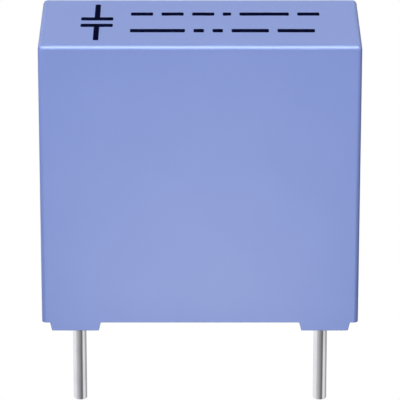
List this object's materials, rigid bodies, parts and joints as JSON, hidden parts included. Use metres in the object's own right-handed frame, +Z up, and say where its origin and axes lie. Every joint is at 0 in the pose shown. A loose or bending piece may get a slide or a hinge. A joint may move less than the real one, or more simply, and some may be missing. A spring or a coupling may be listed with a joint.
{
  "type": "box film capacitor",
  "caption": "Small moulded box with rounded edges and low stand-off feet, holding a resin-sealed film winding on straight tinned wire leads that solder into a circuit board.",
  "frame": {"origin": "midway between the leads, on the plane that the feet stand on, which is the top of the circuit board", "axes": "+Z up, away from the board; X from lead to lead along the case's length; the front face looks towards -Y"},
  "size_m": [0.0128, 0.006, 0.0165],
  "materials": {
    "case_plastic": "satin moulded thermoplastic, light blue",
    "marking_ink": "thin stamped ink on the case's top, near black",
    "resin": "cast epoxy, smooth skin, duller blue",
    "metallised_film": "pressed roll of metallised film",
    "sprayed_zinc": "rough sprayed zinc",
    "tinned_wire": "bright drawn and tinned wire"
  },
  "bodies": {
    "root": {"case": "case_plastic", "sealing_resin": "resin", "film_winding": "metallised_film", "contact_layer_left": "sprayed_zinc", "contact_layer_right": "sprayed_zinc", "lead_left": "tinned_wire", "lead_right": "tinned_wire"}
  },
  "joints": []
}
